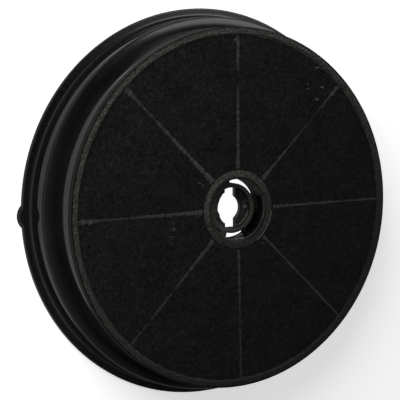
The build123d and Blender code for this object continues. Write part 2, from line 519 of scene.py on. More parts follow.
def glossy_moulding():
    """Smooth black walls of the moulding, with a little orange peel, and duller on one stretch of the lip."""
    material, tree, surface = new_material("glossy_moulding")
    fed(tree, surface["Base Color"], shaded(tree, grain(tree, 60, 4), ((0.3, 0.0035), (0.7, 0.0055))))
    above_step = spread(tree, parts_of(tree, object_place(tree))["Z"], 0.0, 1.0, 0.0176, 0.0184)
    dull = figured(tree, "MULTIPLY", above_step, heading_share(tree, DULL_LIP_SIDE, 0.88, 0.985))
    handled = spread(tree, grain(tree, 400, 3, 0.7), 0.03, 0.07)
    fed(tree, surface["Roughness"], figured(tree, "MULTIPLY_ADD", dull, 0.3, handled))
    fed(tree, surface["Specular IOR Level"], spread(tree, dull, 0.5, 0.12, 0.0, 1.0))
    fed(tree, surface["Normal"], bumped(tree, grain(tree, 700, 2), 0.005))
    surface["IOR"].default_value = PLASTIC_IOR
    return material


def dull_moulding():
    """Flange front and other half-matt moulded faces, faintly olive and mottled; painted shade darkens the
    upper left.
    """
    material, tree, surface = new_material("dull_moulding")
    blotch = grain(tree, 420, 5, 0.65)
    light = shaded(tree, blotch, ((0.3, 0.004), (0.55, 0.008), (0.75, 0.014)), OLIVE)
    dark = shaded(tree, blotch, ((0.3, 0.0006), (0.55, 0.0018), (0.75, 0.005)), OLIVE)
    # Painted shade: the darker copy of the colour toward the upper left.
    fed(tree, surface["Base Color"], mixed(tree, uneven(tree), light, dark))
    fed(tree, surface["Roughness"], spread(tree, blotch, 0.2, 0.34))
    fed(tree, surface["Normal"], bumped(tree, grain(tree, 1300, 3, 0.7), 0.03))
    surface["IOR"].default_value = PLASTIC_IOR
    return material


def edge_moulding():
    """Matt black plastic round the outer edge of the rim."""
    material, tree, surface = new_material("edge_moulding")
    fed(tree, surface["Base Color"],
        shaded(tree, grain(tree, 600, 4, 0.65), ((0.3, 0.002), (0.7, 0.008)), OLIVE))
    surface["Roughness"].default_value = 0.5
    surface["Specular IOR Level"].default_value = 0.2
    fed(tree, surface["Normal"], bumped(tree, grain(tree, 1300, 3, 0.7), 0.04))
    return material


def socket_moulding():
    """Half-matt plastic inside the hub, with painted shadow making the web at the lower right black and dull.
    """
    material, tree, surface = new_material("socket_moulding")
    blotch = grain(tree, 500, 5, 0.65)
    shade = shaded(tree, blotch, ((0.3, 0.002), (0.55, 0.007), (0.75, 0.018)), OLIVE)
    black = shaded(tree, blotch, ((0.3, 0.0003), (0.75, 0.0015)), OLIVE)
    # Painted shadow: beyond the sleeve toward the lower right, the black copy with less specular.
    beyond_sleeve = spread(tree, reach(tree), 0.0, 1.0, 0.0131, 0.0135)
    web = figured(tree, "MULTIPLY", beyond_sleeve, heading_share(tree, SHADOWED_WEB_SIDE, 0.72, 0.9))
    fed(tree, surface["Base Color"], mixed(tree, web, shade, black))
    fed(tree, surface["Specular IOR Level"], spread(tree, web, 0.5, 0.15, 0.0, 1.0))
    fed(tree, surface["Roughness"], spread(tree, blotch, 0.28, 0.45))
    fed(tree, surface["Normal"], bumped(tree, grain(tree, 1300, 3, 0.7), 0.04))
    return material


def bore_moulding():
    """Bore wall of the hub: streaked, grey on the upper right by painted light, and black elsewhere."""
    material, tree, surface = new_material("bore_moulding")
    streak = grain(tree, 420, 4, 0.7, 0.3, (1, 1, 0.25))
    dark = shaded(tree, streak, ((0.3, 0.0004), (0.7, 0.0022)), OLIVE)
    light = shaded(tree, streak, ((0.35, 0.012), (0.5, 0.055), (0.65, 0.12)), OLIVE)
    # Painted light: the grey copy toward the upper right.
    share = heading_share(tree, LIT_BORE_SIDE, 0.9, 0.97)
    fed(tree, surface["Base Color"], mixed(tree, share, dark, light))
    fed(tree, surface["Roughness"], spread(tree, streak, 0.35, 0.5))
    surface["Specular IOR Level"].default_value = 0.25
    fed(tree, surface["Normal"], bumped(tree, streak, 0.05))
    return material


def painted_light_moulding(name, stops, roughness):
    """Paler plastic for painted light inside the socket, on lit tops and as painted highlights on edges."""
    material, tree, surface = new_material(name)
    fed(tree, surface["Base Color"], shaded(tree, grain(tree, 700, 4, 0.65), stops, OLIVE))
    surface["Roughness"].default_value = roughness
    fed(tree, surface["Normal"], bumped(tree, grain(tree, 1300, 3, 0.7), 0.04))
    return material


def welded_moulding():
    """Rim and hub ring: rough, grey where the fleece was pressed in and lighter to the upper left by painted
    light, and bare black at the rim's edge.
    """
    material, tree, surface = new_material("welded_moulding")
    blotch = grain(tree, 950, 4, 0.65, 0.4)
    dark = shaded(tree, blotch, ((0.32, 0.0006), (0.5, 0.005), (0.68, 0.017)), OLIVE)
    light = shaded(tree, blotch, ((0.32, 0.004), (0.5, 0.028), (0.68, 0.105)), OLIVE)
    from_axis = reach(tree)
    # Painted light: the lighter copy toward the upper left, with the hub ring kept at least 0.3 of the way to
    # it.
    hub = spread(tree, from_axis, 0.3, 0.0, 0.025, 0.03)
    shade = mixed(tree, figured(tree, "MAXIMUM", uneven(tree), hub), dark, light)
    # Painted shade: a dark band just outside the hub's bore, on the left side only.
    across_shade_band = spread(tree, from_axis, 0.0, 1.0, 0.0163, 0.0177)
    in_shade_band = shaded(tree, across_shade_band, ((0.0, 0.0), (0.35, 1.0), (0.6, 1.0), (1.0, 0.0)))
    painted_shade_band = figured(tree, "MULTIPLY", in_shade_band, heading_share(tree, SHADED_RING_SIDE, 0.2, 0.7))
    shade = mixed(tree, painted_shade_band, shade, shaded(tree, blotch, ((0.3, 0.0005), (0.7, 0.003)), OLIVE))
    wander = figured(tree, "MULTIPLY_ADD", grain(tree, 260, 3), 0.0016, from_axis)
    bare = spread(tree, wander, 0.0, 1.0, 0.0931, 0.0934)
    plain = shaded(tree, blotch, ((0.3, 0.002), (0.7, 0.006)), OLIVE)
    fed(tree, surface["Base Color"], mixed(tree, bare, shade, plain))
    fed(tree, surface["Roughness"], spread(tree, bare, 0.58, 0.22, 0.0, 1.0))
    surface["Specular IOR Level"].default_value = 0.25
    fed(tree, surface["Normal"], bumped(tree, grain(tree, 900, 4, 0.75), 0.25))
    return material


def bled_moulding():
    """Plastic that has come up through the fleece over a partition wall."""
    material, tree, surface = new_material("bled_moulding")
    attribute = tree.nodes.new("ShaderNodeAttribute")
    attribute.attribute_name = "bleed"
    rag = spread(tree, grain(tree, 900, 4, 0.8, 0.5), 0.05, 1.7)
    ragged = figured(tree, "MULTIPLY", attribute.outputs["Fac"], rag)
    fed(tree, surface["Base Color"], shaded(tree, ragged, ((0.0, 0.0075), (0.35, 0.014), (1.0, 0.034))))
    surface["Roughness"].default_value = 0.7
    fed(tree, surface["Normal"], bumped(tree, grain(tree, 1500, 3, 0.8), 0.2))
    return material


def black_fleece(name):
    """Matt black non-woven fibres, with painted light making them a little lighter toward one side of the
    disc.
    """
    material, tree, surface = new_material(name)
    cloud = spread(tree, grain(tree, 55, 5, 0.65), 0.0, 1.0, 0.35, 0.65)
    tuft = grain(tree, 620, 4, 0.7, 0.8)
    fibre = grain(tree, 1700, 3, 0.75, 1.2)
    base = shaded(tree, tuft, ((0.28, 0.0012), (0.5, 0.0066), (0.72, 0.017)))
    light = shaded(tree, tuft, ((0.28, 0.003), (0.5, 0.0098), (0.72, 0.022)))
    # Painted light: the colour is scaled up toward the lit side and down away from it.
    across = figured_vector(tree, "DOT_PRODUCT", object_place(tree), FLEECE_LIT_SIDE)
    scaled = tree.nodes.new("ShaderNodeVectorMath")
    scaled.operation = "SCALE"
    fed(tree, scaled.inputs[0], mixed(tree, cloud, base, light))
    fed(tree, scaled.inputs["Scale"], spread(tree, across, 0.72, 1.12, -0.09, 0.09))
    fed(tree, surface["Base Color"], scaled.outputs["Vector"])
    surface["Roughness"].default_value = 0.95
    surface["Specular IOR Level"].default_value = 0.12
    fed(tree, surface["Normal"], bumped(tree, fibre, 0.2, before=bumped(tree, tuft, 0.35)))
    return material


def carbon_granules():
    """Activated carbon, loose granules of about a millimetre."""
    material, tree, surface = new_material("carbon_granules")
    cells = tree.nodes.new("ShaderNodeTexVoronoi")
    cells.inputs["Scale"].default_value = 650
    tree.links.new(object_place(tree), cells.inputs["Vector"])
    fed(tree, surface["Base Color"], shaded(tree, cells.outputs["Distance"], ((0.0, 0.016), (0.5, 0.004))))
    surface["Roughness"].default_value = 0.75
    fed(tree, surface["Normal"], bumped(tree, cells.outputs["Distance"], 0.6))
    return material


def pale_fleck(name, level):
    """Dull pale bits on the fleece."""
    material, tree, surface = new_material(name)
    fed(tree, surface["Base Color"],
        shaded(tree, grain(tree, 1500, 3, 0.7), ((0.3, level * 0.35), (0.7, level * 1.4))))
    surface["Roughness"].default_value = 0.8
    return material


def loose_fibre():
    """Single fibres and bits of lint on the fleece."""
    material, tree, surface = new_material("loose_fibre")
    fed(tree, surface["Base Color"], shaded(tree, grain(tree, 90, 3), ((0.3, 0.008), (0.7, 0.022))))
    surface["Roughness"].default_value = 0.6
    return material


# Pieces of the housing

def arc(centre_radius, centre_height, size, degrees):
    """Points round a centre: 0 degrees is above it and 90 outward, or the opposite for a size below 0."""
    return [(centre_radius + size * math.sin(math.radians(turn)),
             centre_height + size * math.cos(math.radians(turn))) for turn in degrees]


def outer_shell(gloss, dull, weld, edge):
    """Flange, skirt, convex step, front wall and rim."""
    fillet_foot = FLANGE_THICKNESS + FLANGE_FRONT_RISE + FLANGE_FILLET
    fillet = arc(SKIRT_FOOT_RADIUS + FLANGE_FILLET, fillet_foot, -FLANGE_FILLET, range(0, 91, 10))
    step = arc(LIP_FOOT_RADIUS, STEP_HEIGHT - STEP_CURVE_RADIUS, STEP_CURVE_RADIUS,
               range(STEP_CURVE_ANGLE, -1, -2))
    outline = [
        (SKIRT_BORE_RADIUS, 0.0), (FLANGE_RADIUS, 0.0), (FLANGE_RADIUS, FLANGE_THICKNESS),
        (FLANGE_FACE_RADIUS, FLANGE_FACE_HEIGHT), *fillet, (SKIRT_TOP_RADIUS, SHOULDER_LOW), *step,
        (LIP_TOP_RADIUS, COLLAR_LOW - 0.1), (COLLAR_RADIUS, COLLAR_LOW),
        (COLLAR_RADIUS, HEIGHT), (RIM_INNER_RADIUS, HEIGHT),
        (RIM_INNER_RADIUS, seat_height(RIM_INNER_RADIUS)),
        (RIM_LEDGE_RADIUS, seat_height(RIM_LEDGE_RADIUS)), (RIM_LEDGE_RADIUS, COLLAR_LOW),
        (LIP_INNER_RADIUS, RIM_LEDGE_FOOT), (LIP_INNER_RADIUS, STEP_UNDERSIDE),
        (GRID_SEAT_RADIUS, STEP_UNDERSIDE), (GRID_SEAT_RADIUS, GRID_REAR), (SKIRT_BORE_RADIUS, GRID_REAR),
    ]
    rounds = (
        (FLANGE_RADIUS, FLANGE_THICKNESS, FLANGE_EDGE_ROUND), (SKIRT_BORE_RADIUS, 0.0, 0.4),
        (SKIRT_TOP_RADIUS, SHOULDER_LOW, 0.25), (*step[0], 0.4),
        (COLLAR_RADIUS, HEIGHT, 0.35), (RIM_INNER_RADIUS, HEIGHT, 0.5),
    )
    bm = turned(outline, rounds)
    for face in bm.faces:
        centre = face.calc_center_median()
        radius = math.hypot(centre.x, centre.y) / MM
        height = centre.z / MM
        if radius < COLLAR_RADIUS - 0.3 and height > FLEECE_TOP_AT_RIM - 0.2:
            face.material_index = 2
        elif height > COLLAR_LOW - 0.05 and radius > RIM_INNER_RADIUS + 1.0:
            face.material_index = 3
        elif SKIRT_FOOT_RADIUS + FLANGE_FILLET < radius < FLANGE_RADIUS - 0.7 and height > 0.2:
            face.material_index = 1
    return made(bm, "outer_shell", gloss, dull, weld, edge)


def side_tab(dull):
    """Small flat tab that stands out from the flange."""
    centre = TAB_TIP - TAB_CORNER_RADIUS
    bm = bmesh.new()
    bmesh.ops.create_cone(bm, cap_ends=True, segments=128, radius1=TAB_CORNER_RADIUS * MM,
                          radius2=(TAB_CORNER_RADIUS - TAB_SLOPE) * MM, depth=FLANGE_THICKNESS * MM)
    bmesh.ops.translate(bm, vec=(0, 0, FLANGE_THICKNESS / 2 * MM), verts=bm.verts[:])
    tab = made(bm, "side_tab", dull)
    tab.data.transform(Matrix.Translation((-centre * MM, 0, 0)))
    inside = made(disc_block(SKIRT_BORE_RADIUS + 3.0, -1.0, HEIGHT), "tab_inside")
    combined(tab, [inside], "DIFFERENCE")
    return softened(tab, 0.5, 3)


def hub_shell(inside, weld, bore, painted_lit_tops):
    """Hub ring and the stepped tube behind it."""
    low_ledge = seat_height(HUB_RING_RADIUS) - HUB_LEDGE_DEPTH
    outline = [
        (HUB_THROAT_RADIUS, HUB_REAR), (HUB_THROAT_RADIUS, HUB_THROAT_TOP), (HUB_BORE_RADIUS, HUB_THROAT_TOP),
        (HUB_BORE_RADIUS, HUB_TOP), (HUB_BORE_RADIUS + HUB_BORE_LAND, HUB_TOP), (HUB_RING_RADIUS, HUB_TOP),
        (HUB_RING_RADIUS, seat_height(HUB_RING_RADIUS)), (HUB_LEDGE_RADIUS, seat_height(HUB_LEDGE_RADIUS)),
        (HUB_LEDGE_RADIUS, low_ledge), (HUB_OUTER_RADIUS, low_ledge), (HUB_OUTER_RADIUS, HUB_REAR + WALL),
        (HUB_REAR_OUTER_RADIUS, HUB_REAR + WALL), (HUB_REAR_OUTER_RADIUS, GRID_REAR),
        (HUB_REAR_BORE_RADIUS, GRID_REAR), (HUB_REAR_BORE_RADIUS, HUB_REAR),
    ]
    rounds = (
        (HUB_BORE_RADIUS, HUB_TOP, 0.35), (HUB_RING_RADIUS, HUB_TOP, 0.35),
        (HUB_THROAT_RADIUS, HUB_THROAT_TOP, 0.15), (HUB_THROAT_RADIUS, HUB_REAR, 0.4),
        (HUB_REAR_OUTER_RADIUS, GRID_REAR, 0.3), (HUB_REAR_BORE_RADIUS, GRID_REAR, 0.3),
    )
    bm = turned(outline, rounds)
    for face in bm.faces:
        centre = face.calc_center_median()
        radius = math.hypot(centre.x, centre.y) / MM
        if radius > HUB_BORE_RADIUS + 0.5 and centre.z / MM > HUB_TOP - 0.3:
            face.material_index = 1
        # Painted light: the throat's top face gets the paler plastic.
        elif radius < HUB_BORE_RADIUS and centre.z / MM > HUB_THROAT_TOP - 0.1:
            face.material_index = 3
        elif radius < HUB_BORE_RADIUS:
            face.material_index = 2
    return made(bm, "hub_shell", inside, weld, bore, painted_lit_tops)


def socket_ramps(inside):
    """Floor disc, and for each notch a ramp, its detent and its stop, which sink into the floor."""
    outer = SLEEVE_BORE_RADIUS + WALL_OVERLAP
    extras = [made(disc_block(SLEEVE_BORE_RADIUS + 1.2, FLOOR_REAR, FLOOR_TOP), "floor", inside)]
    for turn in (0.0, 180.0):
        start = RAMP_START + turn
        detent_start = start + RAMP_SWEEP
        stop_start = detent_start + DETENT_SWEEP
        ramp = swept_block(RAMP_INNER_RADIUS, outer, FLOOR_REAR + 0.3, FLOOR_TOP, start,
                           RAMP_SWEEP, RAMP_RISE)
        detent = swept_block(RAMP_INNER_RADIUS, outer, FLOOR_REAR + 0.5, FLOOR_TOP + DETENT_RISE,
                             detent_start - 1.0, DETENT_SWEEP + 2.0)
        stop = swept_block(RAMP_INNER_RADIUS, outer, FLOOR_REAR + 0.7, FLOOR_TOP + STOP_RISE,
                           stop_start, STOP_SWEEP)
        for bm, name in ((ramp, "ramp"), (detent, "detent"), (stop, "stop")):
            extras.append(made(bm, name, inside))
    return extras


def keyhole_cuts():
    """Round hole, notches, and the wide oval that takes away the corners between them."""
    low = FLOOR_REAR - 2.0
    notches = block((NOTCH_WIDTH, 2 * NOTCH_REACH, 40), (NOTCH_SHIFT, 0, FLOOR_REAR))
    corners = disc_block(KEYHOLE_RADIUS, low, HEIGHT, 96)
    bmesh.ops.scale(corners, vec=KEYHOLE_CORNER_SCALE, verts=corners.verts[:])
    bmesh.ops.translate(corners, vec=(KEYHOLE_CORNER_SHIFT * MM, 0, 0), verts=corners.verts[:])
    return [made(disc_block(KEYHOLE_RADIUS, low, HEIGHT, 96), "keyhole_round"),
            made(notches, "keyhole_notches"), made(corners, "keyhole_corners")]


def bayonet_socket(inside, painted_lit_tops):
    """Sleeve, two webs, keyhole floor and the two bayonet ramps."""
    foot = FLOOR_REAR + 0.4
    web_radius = HUB_BORE_RADIUS + WALL_OVERLAP
    outline = [
        (SLEEVE_BORE_RADIUS, foot), (SLEEVE_RADIUS, foot), (SLEEVE_RADIUS, HUB_REAR), (web_radius, HUB_REAR),
        (web_radius, SLEEVE_TOP), (SLEEVE_RADIUS + 0.05, SLEEVE_TOP), (SLEEVE_BORE_RADIUS, SLEEVE_TOP),
    ]
    socket = made(turned(outline), "bayonet_socket", inside)
    slots = [made(swept_block(SLEEVE_RADIUS, SLOT_OUTER_RADIUS, FLOOR_REAR - 1.0, HEIGHT, start, end - start),
                  "arc_slot") for start, end in ARC_SLOTS]
    combined(socket, slots, "DIFFERENCE")
    combined(socket, socket_ramps(inside), "UNION")
    combined(socket, keyhole_cuts(), "DIFFERENCE")
    softened(socket, 0.3, 2)
    socket.data.materials.append(painted_lit_tops)
    # Painted light: the sleeve ring's top and the webs' tops at the bottom get the paler plastic.
    for face in socket.data.polygons:
        ring = math.hypot(face.center.x, face.center.y) < (SLEEVE_RADIUS + 0.1) * MM
        on_top = face.normal.z > 0.7 and face.center.z > (SLEEVE_TOP - 0.15) * MM
        if on_top and (ring or face.center.y < PAINTED_LIT_WEB_Y * MM):
            face.material_index = len(socket.data.materials) - 1
    return socket


def socket_highlights(painted_highlights):
    """Thin strips of paler plastic for painted highlights: detent tops, ramp edges, slot and throat edges,
    and part of the hub ring's edge.
    """
    strips = []
    detent_top = FLOOR_TOP + DETENT_RISE
    for turn in (0.0, 180.0):
        strips.append(("detent_top", RAMP_INNER_RADIUS + 0.5, SLEEVE_BORE_RADIUS - 0.5, detent_top - 0.3,
                       detent_top + 0.12, RAMP_START + RAMP_SWEEP + turn + 2.0, DETENT_SWEEP - 4.0))
        strips.append(("ramp_fillet", SLEEVE_BORE_RADIUS - 0.45, SLEEVE_BORE_RADIUS + 0.3, FLOOR_TOP - 0.3,
                       FLOOR_TOP + 0.5, RAMP_START + turn - 1.0, RAMP_SWEEP - 5.0, RAMP_RISE))
    strips.append(("slot_lip", SLOT_OUTER_RADIUS - 0.75, SLOT_OUTER_RADIUS + 0.1, SLEEVE_TOP - 0.4,
                   SLEEVE_TOP + 0.35, 277.0, 17.0))
    strips.append(("throat_lip", HUB_THROAT_RADIUS - 0.7, HUB_THROAT_RADIUS + 0.4, HUB_THROAT_TOP - 0.3,
                   HUB_THROAT_TOP + 0.12, 260.0, 23.0))
    strips.append(("ring_edge", HUB_RING_RADIUS - 0.5, HUB_RING_RADIUS + 0.1, HUB_TOP - 0.6,
                   HUB_TOP + 0.05, -56.0, 50.0))
    pieces = [made(swept_block(*sizes), name, painted_highlights) for name, *sizes in strips]
    return softened(joined("socket_highlights", pieces), 0.12, 2)


def partition_walls(gloss):
    """Thin walls from the hub tube to the outer wall, under the fleece."""
    hub_side = HUB_LEDGE_RADIUS - PARTITION_HUB_INSET
    outline = [
        (HUB_REAR_BORE_RADIUS + 1.0, REAR_FLEECE_TOP), (LIP_INNER_RADIUS + 0.9, REAR_FLEECE_TOP),
        (LIP_INNER_RADIUS + 0.9, PARTITION_SHOULDER),
        (RIM_LEDGE_RADIUS - 0.5, seat_height(RIM_LEDGE_RADIUS) - PARTITION_GAP),
        (HUB_LEDGE_RADIUS, seat_height(HUB_LEDGE_RADIUS) - PARTITION_GAP), (hub_side, PARTITION_HUB_HEIGHT),
        (hub_side, HUB_REAR + 1.0), (HUB_REAR_BORE_RADIUS + 1.0, HUB_REAR + 1.0),
    ]
    bm = bmesh.new()
    for index in range(PARTITION_COUNT):
        corners = [bm.verts.new((r * MM, -PARTITION_HALF_WIDTH * MM, z * MM)) for r, z in outline]
        grown = bmesh.ops.extrude_face_region(bm, geom=[bm.faces.new(corners)])
        moved = [g for g in grown["geom"] if isinstance(g, bmesh.types.BMVert)]
        bmesh.ops.translate(bm, vec=(0, 2 * PARTITION_HALF_WIDTH * MM, 0), verts=moved)
        rotated(bm, 360 / PARTITION_COUNT * index, moved + corners)
    bmesh.ops.recalc_face_normals(bm, faces=bm.faces[:])
    return made(bm, "partition_walls", gloss)


def strength_at(pairs, radius):
    """The strength between the (radius, strength) pairs."""
    for (r0, s0), (r1, s1) in zip(pairs, pairs[1:]):
        if r0 <= radius <= r1:
            return s0 + (s1 - s0) * (radius - r0) / (r1 - r0)
    return pairs[0][1] if radius < pairs[0][0] else pairs[-1][1]


def crest_point(angle, radius, across, strength):
    """Place of a point on a crest before its turn, and how much plastic has bled through there."""
    seed = Vector((radius * 0.55, angle * 3.1, 0.0))
    side = Vector((0.0, 0.0, 7.0 if across > 0 else 0.0))
    rag = noise.noise(seed) * 0.5 + noise.noise(seed * 2.9) * 0.5 + noise.noise(seed * 6.3 + side) * 0.5
    flare = max(0.0, (29.0 - radius) / 5.0) + max(0.0, (radius - 83.0) / 5.0)
    shown = min(1.0, 0.3 + 4.0 * strength)
    half = max(0.2, shown * (0.85 + 0.55 * strength + 0.95 * rag + 0.75 * flare * strength))
    sway = 0.22 * noise.noise(seed * 0.8 + Vector((5.0, 0.0, 3.0)))
    sunk = 0.16
    lift = 0.02 + 0.13 * strength * (1.0 + rag) - 0.06 * (1.0 - shown)
    height = fleece_height(radius) - sunk + (sunk + lift) * max(0.0, 1.0 - abs(across) ** 2) ** 0.5
    bleed = max(0.0, min(1.0, strength * (1.0 + 1.3 * rag)))
    return Vector((radius, across * half + sway, height)) * MM, bleed


def crests(bled):
    """The ragged edges of the partition walls where they come up through the fleece."""
    bm = bmesh.new()
    layer = bm.verts.layers.float.new("bleed")
    for angle, pairs in CREST_SHOW.items():
        bar = bmesh.ops.create_grid(bm, x_segments=150, y_segments=4, size=0.5)["verts"]
        turn = Matrix.Rotation(math.radians(angle), 3, "Z")
        for vert in bar:
            radius = CREST_START + (CREST_END - CREST_START) * (vert.co.x + 0.5)
            place, vert[layer] = crest_point(angle, radius, vert.co.y * 2, strength_at(pairs, radius))
            vert.co = turn @ place
    bmesh.ops.recalc_face_normals(bm, faces=bm.faces[:])
    return made(bm, "crests", bled)


def weld_bead(weld):
    """Uneven bead of plastic along the inside of the rim, over the fleece's edge."""
    root = RIM_INNER_RADIUS + 0.3
    outline = [
        (root, HEIGHT - 0.9), (root, HEIGHT - 0.35), (RIM_INNER_RADIUS - 0.1, HEIGHT - 0.45),
        (RIM_INNER_RADIUS - 0.55, HEIGHT - 0.95), (RIM_INNER_RADIUS - 0.8, HEIGHT - 1.25),
        (root, HEIGHT - 1.4),
    ]
    bm = turned(outline, steps=720)
    for vert in bm.verts:
        radius = math.hypot(vert.co.x, vert.co.y)
        wave = noise.noise(vert.co * 420) + 0.6 * noise.noise(vert.co * 1300)
        inward = max(0.0, (RIM_INNER_RADIUS + 0.1) - radius / MM)
        scale = 1.0 - (0.35 * wave * inward * MM) / radius
        vert.co.x *= scale
        vert.co.y *= scale
        vert.co.z += 0.12 * MM * wave * min(1.0, inward)
    return made(bm, "weld_bead", weld)


def housing_moulding(gloss, dull):
    """The whole black moulding as one piece."""
    weld = welded_moulding()
    inside = socket_moulding()
    # Painted light: paler plastic for lit tops, and brighter plastic for the painted highlight strips.
    painted_lit_tops = painted_light_moulding("painted_light_moulding", ((0.3, 0.010), (0.5, 0.022), (0.7, 0.042)), 0.42)
    painted_highlights = painted_light_moulding("painted_highlight_moulding", ((0.3, 0.035), (0.5, 0.07), (0.7, 0.11)), 0.3)
    parts = [
        smooth_within(outer_shell(gloss, dull, weld, edge_moulding())),
        smooth_within(side_tab(dull)),
        smooth_within(hub_shell(inside, weld, bore_moulding(), painted_lit_tops)),
        smooth_within(bayonet_socket(inside, painted_lit_tops)),
        smooth_within(socket_highlights(painted_highlights)),
        smooth_within(partition_walls(gloss)),
        smooth_within(crests(bled_moulding()), 80),
        smooth_within(weld_bead(weld), 70),
    ]
    return joined("housing_moulding", parts)


# Fleece discs, grid and small bits

def fleece_disc(name, material, inner, outer, low, high, waviness, rings):
    """A round sheet of fleece with a hole, from its lower and upper face heights by radius."""
    radii = [inner + (outer - inner) * k / rings for k in range(rings + 1)]
    outline = [(r, low(r)) for r in radii] + [(r, high(r)) for r in reversed(radii)]
    bm = turned(outline)
    for vert in bm.verts:
        radius = math.hypot(vert.co.x, vert.co.y) / MM
        calm = min(1.0, min(radius - inner, outer - radius) / 4.0)
        if vert.co.z / MM > (low(radius) + high(radius)) / 2:
            wave = noise.noise(vert.co * 90) + 0.5 * noise.noise(vert.co * 300)
            vert.co.z += waviness * MM * calm * wave
    return smooth_within(made(bm, name, material), 60)


def front_fleece(material):
    """The dished front fleece."""
    return fleece_disc("front_fleece_cloth", material, HUB_RING_RADIUS + FLEECE_GAP,
                       RIM_INNER_RADIUS - FLEECE_GAP, seat_height, fleece_height, FLEECE_WAVINESS, 56)


def rear_fleece(material):
    """The flat rear fleece, which swells a little between the bars of the grid."""
    stops = (GRID_INNER_RADIUS + GRID_HUB_WIDTH,) + GRID_RING_RADII + (GRID_OUTER_RADIUS - GRID_RIM_WIDTH,)

    def low(radius):
        for first, second in zip(stops, stops[1:]):
            if first < radius < second:
                share = (radius - first) / (second - first)
                return STEP_UNDERSIDE - REAR_FLEECE_SAG * math.sin(math.pi * share)
        return STEP_UNDERSIDE

    return fleece_disc("rear_fleece_cloth", material, HUB_REAR_OUTER_RADIUS + FLEECE_GAP,
                       REAR_FLEECE_RADIUS, low, lambda radius: REAR_FLEECE_TOP, 0.0, 60)


def bar_ring(inner, outer, dull):
    """A ring of the grid with its rear edges rounded."""
    outline = [(inner, GRID_REAR), (outer, GRID_REAR), (outer, STEP_UNDERSIDE), (inner, STEP_UNDERSIDE)]
    rounds = ((inner, GRID_REAR, GRID_BAR_ROUND), (outer, GRID_REAR, GRID_BAR_ROUND))
    return smooth_within(made(turned(outline, rounds), "grid_ring", dull))


def grid_rib(index, dull):
    """One rib of the grid, from the hub ring to the rim, with its rear edges rounded."""
    start = GRID_INNER_RADIUS + 1.0
    end = GRID_OUTER_RADIUS - GRID_RIM_WIDTH / 2
    rib = block((end - start, GRID_BAR_WIDTH + 0.1, 1.9), ((start + end) / 2, 0, GRID_REAR + 1.05))
    rear_edges = [e for e in rib.edges if all(v.co.z < (GRID_REAR + 0.5) * MM for v in e.verts)]
    bmesh.ops.bevel(rib, geom=rear_edges, offset=GRID_BAR_ROUND * MM, offset_type="OFFSET", segments=3,
                    profile=0.5, affect="EDGES", material=-1)
    return smooth_within(made(rotated(rib, 360 / PARTITION_COUNT * index), "grid_rib", dull))


def rear_grid(dull):
    """Rim, hub ring, two rings between and eight ribs."""
    parts = [bar_ring(GRID_OUTER_RADIUS - GRID_RIM_WIDTH, GRID_OUTER_RADIUS, dull),
             bar_ring(GRID_INNER_RADIUS, GRID_INNER_RADIUS + GRID_HUB_WIDTH, dull)]
    parts += [bar_ring(r - GRID_BAR_WIDTH / 2, r + GRID_BAR_WIDTH / 2, dull) for r in GRID_RING_RADII]
    parts += [grid_rib(index, dull) for index in range(PARTITION_COUNT)]
    return joined("rear_grid_bars", parts)


def pale_bits(picker):
    """Lumpy bits of plastic, scattered about their places."""
    bm = bmesh.new()
    for x, y, scatter, count, size in FLECKS:
        for _ in range(count):
            place = Vector((x + picker.gauss(0, scatter), y + picker.gauss(0, scatter), 0.0))
            from_hub = math.hypot(place.x, place.y)
            place.z = fleece_height(from_hub) + 0.03
            turn = Matrix.Rotation(picker.uniform(0, 3.1), 4, "Z")
            length = size * picker.uniform(0.5, 1.3)
            width = size * picker.uniform(0.3, 0.8)
            shape = Matrix.Translation(place * MM) @ turn @ Matrix.Diagonal((length, width, 0.16, 1.0))
            if FLECK_RADII[0] < from_hub < FLECK_RADII[1]:
                bmesh.ops.create_icosphere(bm, subdivisions=2, radius=0.5 * MM, matrix=shape)
    for vert in bm.verts:
        finely = vert.co * 2500
        vert.co += Vector((noise.noise(finely), noise.noise(finely + Vector((7, 0, 0))), 0)) * 0.12 * MM
    return bm


def rubbed_and_sheen_strokes(picker):
    """Faint low ridges where rubbing laid the fleece's nap, painted paler as a sheen."""
    bm = bmesh.new()
    sunk = Vector((0, 0, 0.05))
    for x, y, scatter, count, length, heading in STROKES:
        for _ in range(count):
            turn = math.radians(heading + picker.gauss(0, 6))
            centre = Vector((x + picker.gauss(0, scatter), y + picker.gauss(0, scatter), 0.0))
            along = Vector((math.cos(turn), math.sin(turn), 0)) * length * picker.uniform(0.4, 1.2) / 2
            side = Vector((-math.sin(turn), math.cos(turn), 0)) * picker.uniform(0.06, 0.13)
            reaches = [(centre - along).length, (centre + along).length]
            if min(reaches) < STROKE_RADII[0] or max(reaches) > STROKE_RADII[1]:
                continue
            rows = []
            for end in (-1.0, -0.6, -0.2, 0.2, 0.6, 1.0):
                spot = centre + along * end
                level = Vector((0, 0, fleece_height(math.hypot(spot.x, spot.y))))
                taper = 1.0 - abs(end) ** 3
                rows.append([bm.verts.new((spot - side * taper + level - sunk) * MM),
                             bm.verts.new((spot + level + sunk) * MM),
                             bm.verts.new((spot + side * taper + level - sunk) * MM)])
            for first, second in zip(rows, rows[1:]):
                for a, b in ((0, 1), (1, 2)):
                    bm.faces.new((first[a], second[a], second[b], first[b]))
    return bm


